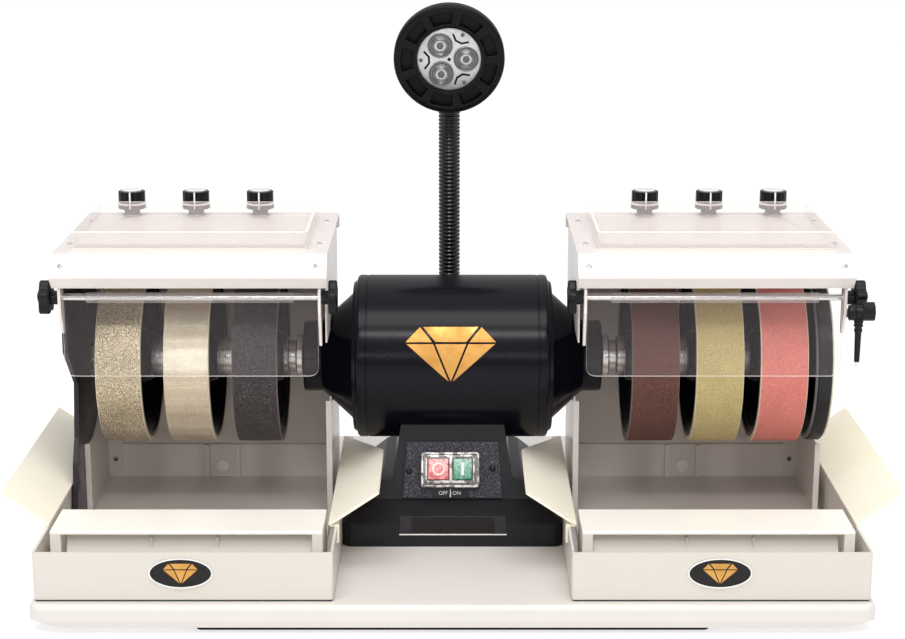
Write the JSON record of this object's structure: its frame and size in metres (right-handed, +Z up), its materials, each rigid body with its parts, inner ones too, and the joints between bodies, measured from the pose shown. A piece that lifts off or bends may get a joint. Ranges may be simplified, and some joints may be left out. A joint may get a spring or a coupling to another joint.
{
  "type": "cabbing machine",
  "caption": "Two-sided lapidary grinder: a centre motor turns wheels under splash hoods, over pull-out pans, with a gooseneck lamp.",
  "frame": {"origin": "on the floor, under the middle of the machine", "axes": "X along the wheel shaft, -Y towards the person working, +Z up"},
  "size_m": [0.749, 0.47, 0.4796],
  "materials": {
    "base_cream": "satin moulded plastic",
    "foot_rubber": "matt",
    "cast_black": "black paint",
    "panel_black": "hammertone paint",
    "switch_clear": "glossy clear cover over grey",
    "button_red": "gloss",
    "button_green": "gloss",
    "inlet_black": "satin",
    "motor_black": "gloss paint",
    "stator_steel": "laminated",
    "rotor_steel": "laminated",
    "bearing_steel": "ground",
    "shaft_steel": "ground",
    "core_black": "satin",
    "band_coarse_gold": "plated diamond grit, coarse",
    "band_fine_gold": "plated diamond grit, fine",
    "band_dark": "diamond resin",
    "band_brown": "diamond resin",
    "band_olive": "diamond resin",
    "band_salmon": "diamond resin",
    "spacer_chrome": "polished",
    "disc_black": "satin",
    "pad_cream": "polishing pad",
    "hood_grey": "satin grey paint",
    "hood_white": "satin white paint",
    "guard_black": "smooth sheet",
    "bracket_white": "satin white paint",
    "acrylic_clear": "clear acrylic",
    "rod_chrome": "polished",
    "knob_black": "satin",
    "valve_chrome": "polished",
    "drip_black": "satin",
    "pan_cream": "moulded plastic",
    "rest_cream": "moulded plastic",
    "wing_cream": "flexible sheet",
    "plug_white": "satin",
    "screw_steel": "plated",
    "neck_black": "ribbed sleeve",
    "socket_steel": "blackened",
    "lamp_black": "black anodised"
  },
  "bodies": {
    "machine": {"base_plate": "base_cream", "foot_strips": "foot_rubber", "pedestal": "cast_black", "switch_plate": "panel_black", "switch_housing": "switch_clear", "power_inlet": "inlet_black", "motor_shell": "motor_black", "motor_end_caps": "motor_black", "motor_stator": "stator_steel", "ball_bearings": "bearing_steel", "hood_shell_left": "hood_grey", "hood_shell_right": "hood_grey", "hood_tops": "hood_white", "side_guard_left": "guard_black", "flap_brackets": "bracket_white", "valve_bodies": "valve_chrome", "drip_clamp": "drip_black", "drain_plugs": "plug_white", "case_screws": "screw_steel", "lamp_socket": "socket_steel", "gooseneck_1": "neck_black"},
    "spindle": {"main_shaft": "shaft_steel", "motor_rotor": "rotor_steel", "wheel_cores": "core_black", "wheel_band_1": "band_coarse_gold", "wheel_band_2": "band_fine_gold", "wheel_band_3": "band_dark", "wheel_band_4": "band_brown", "wheel_band_5": "band_olive", "wheel_band_6": "band_salmon", "spindle_spacers": "spacer_chrome", "shaft_nuts": "spacer_chrome", "polishing_disc": "disc_black", "polishing_pad": "pad_cream"},
    "drip_arm": {"drip_nozzle": "drip_black"},
    "off_key": {"off_button": "button_red"},
    "on_key": {"on_button": "button_green"},
    "neck_middle": {"gooseneck_2": "neck_black"},
    "neck_upper": {"gooseneck_3": "neck_black"},
    "lamp_head": {"lamp_housing": "lamp_black"},
    "flap_left": {"splash_flap_left": "acrylic_clear", "flap_rod_left": "rod_chrome", "flap_knobs_left": "knob_black"},
    "stone_tray_left": {"stone_tray_left": "acrylic_clear"},
    "pan_left": {"splash_pan_left": "pan_cream", "pan_wings_left": "wing_cream"},
    "arm_rest_left": {"arm_rest_left": "rest_cream"},
    "flap_right": {"splash_flap_right": "acrylic_clear", "flap_rod_right": "rod_chrome", "flap_knobs_right": "knob_black"},
    "stone_tray_right": {"stone_tray_right": "acrylic_clear"},
    "pan_right": {"splash_pan_right": "pan_cream", "pan_wings_right": "wing_cream"},
    "arm_rest_right": {"arm_rest_right": "rest_cream"},
    "valve_knob_1": {"valve_knob_1": "knob_black"},
    "valve_knob_2": {"valve_knob_2": "knob_black"},
    "valve_knob_3": {"valve_knob_3": "knob_black"},
    "valve_knob_4": {"valve_knob_4": "knob_black"},
    "valve_knob_5": {"valve_knob_5": "knob_black"},
    "valve_knob_6": {"valve_knob_6": "knob_black"}
  },
  "joints": [
    {"name": "spindle_spin", "type": "hinge", "parent": "machine", "child": "spindle", "pos_m": [0, 0, 0.171], "axis": [1, 0, 0], "continuous": true},
    {"name": "flap_swing_left", "type": "hinge", "parent": "machine", "child": "flap_left", "pos_m": [0, -0.09, 0.245], "axis": [-1, 0, 0], "range_deg": [0, 80]},
    {"name": "stone_tray_lift_left", "type": "slide", "parent": "machine", "child": "stone_tray_left", "axis": [0, 0, 1], "range_m": [0, 0.06]},
    {"name": "pan_slide_left", "type": "slide", "parent": "machine", "child": "pan_left", "axis": [0, -1, 0], "range_m": [0, 0.2]},
    {"name": "arm_rest_lift_left", "type": "slide", "parent": "pan_left", "child": "arm_rest_left", "axis": [0, 0, 1], "range_m": [0, 0.05]},
    {"name": "flap_swing_right", "type": "hinge", "parent": "machine", "child": "flap_right", "pos_m": [0, -0.09, 0.245], "axis": [-1, 0, 0], "range_deg": [0, 80]},
    {"name": "stone_tray_lift_right", "type": "slide", "parent": "machine", "child": "stone_tray_right", "axis": [0, 0, 1], "range_m": [0, 0.06]},
    {"name": "pan_slide_right", "type": "slide", "parent": "machine", "child": "pan_right", "axis": [0, -1, 0], "range_m": [0, 0.2]},
    {"name": "arm_rest_lift_right", "type": "slide", "parent": "pan_right", "child": "arm_rest_right", "axis": [0, 0, 1], "range_m": [0, 0.05]},
    {"name": "valve_turn_1", "type": "hinge", "parent": "machine", "child": "valve_knob_1", "pos_m": [-0.295, 0.08, 0.2837], "axis": [0, 0, 1], "range_deg": [0, 270]},
    {"name": "valve_turn_2", "type": "hinge", "parent": "machine", "child": "valve_knob_2", "pos_m": [-0.236, 0.08, 0.2837], "axis": [0, 0, 1], "range_deg": [0, 270]},
    {"name": "valve_turn_3", "type": "hinge", "parent": "machine", "child": "valve_knob_3", "pos_m": [-0.177, 0.08, 0.2837], "axis": [0, 0, 1], "range_deg": [0, 270]},
    {"name": "valve_turn_4", "type": "hinge", "parent": "machine", "child": "valve_knob_4", "pos_m": [0.177, 0.08, 0.2837], "axis": [0, 0, 1], "range_deg": [0, 270]},
    {"name": "valve_turn_5", "type": "hinge", "parent": "machine", "child": "valve_knob_5", "pos_m": [0.236, 0.08, 0.2837], "axis": [0, 0, 1], "range_deg": [0, 270]},
    {"name": "valve_turn_6", "type": "hinge", "parent": "machine", "child": "valve_knob_6", "pos_m": [0.295, 0.08, 0.2837], "axis": [0, 0, 1], "range_deg": [0, 270]},
    {"name": "drip_swing", "type": "hinge", "parent": "machine", "child": "drip_arm", "pos_m": [0.338, -0.116, 0.238], "axis": [1, 0, 0], "range_deg": [-60, 45]},
    {"name": "off_press", "type": "slide", "parent": "machine", "child": "off_key", "axis": [0, 0.9554, -0.2955], "range_m": [0, 0.003], "stiffness_N_per_m": 250, "springref_m": -0.002},
    {"name": "on_press", "type": "slide", "parent": "machine", "child": "on_key", "axis": [0, 0.9554, -0.2955], "range_m": [0, 0.003], "stiffness_N_per_m": 250, "springref_m": -0.002},
    {"name": "neck_bend_low", "type": "hinge", "parent": "machine", "child": "neck_middle", "pos_m": [-0.003, 0.114, 0.165], "axis": [1, 0, 0], "range_deg": [-20, 35]},
    {"name": "neck_bend_high", "type": "hinge", "parent": "neck_middle", "child": "neck_upper", "pos_m": [-0.003, 0.114, 0.29], "axis": [1, 0, 0], "range_deg": [-20, 35]},
    {"name": "lamp_tilt", "type": "hinge", "parent": "neck_upper", "child": "lamp_head", "pos_m": [-0.003, 0.114, 0.437], "axis": [1, 0, 0], "range_deg": [-35, 12]}
  ],
  "couplings": [
    {"joint": "neck_bend_high", "follows": "neck_bend_low", "ratio": 1}
  ]
}
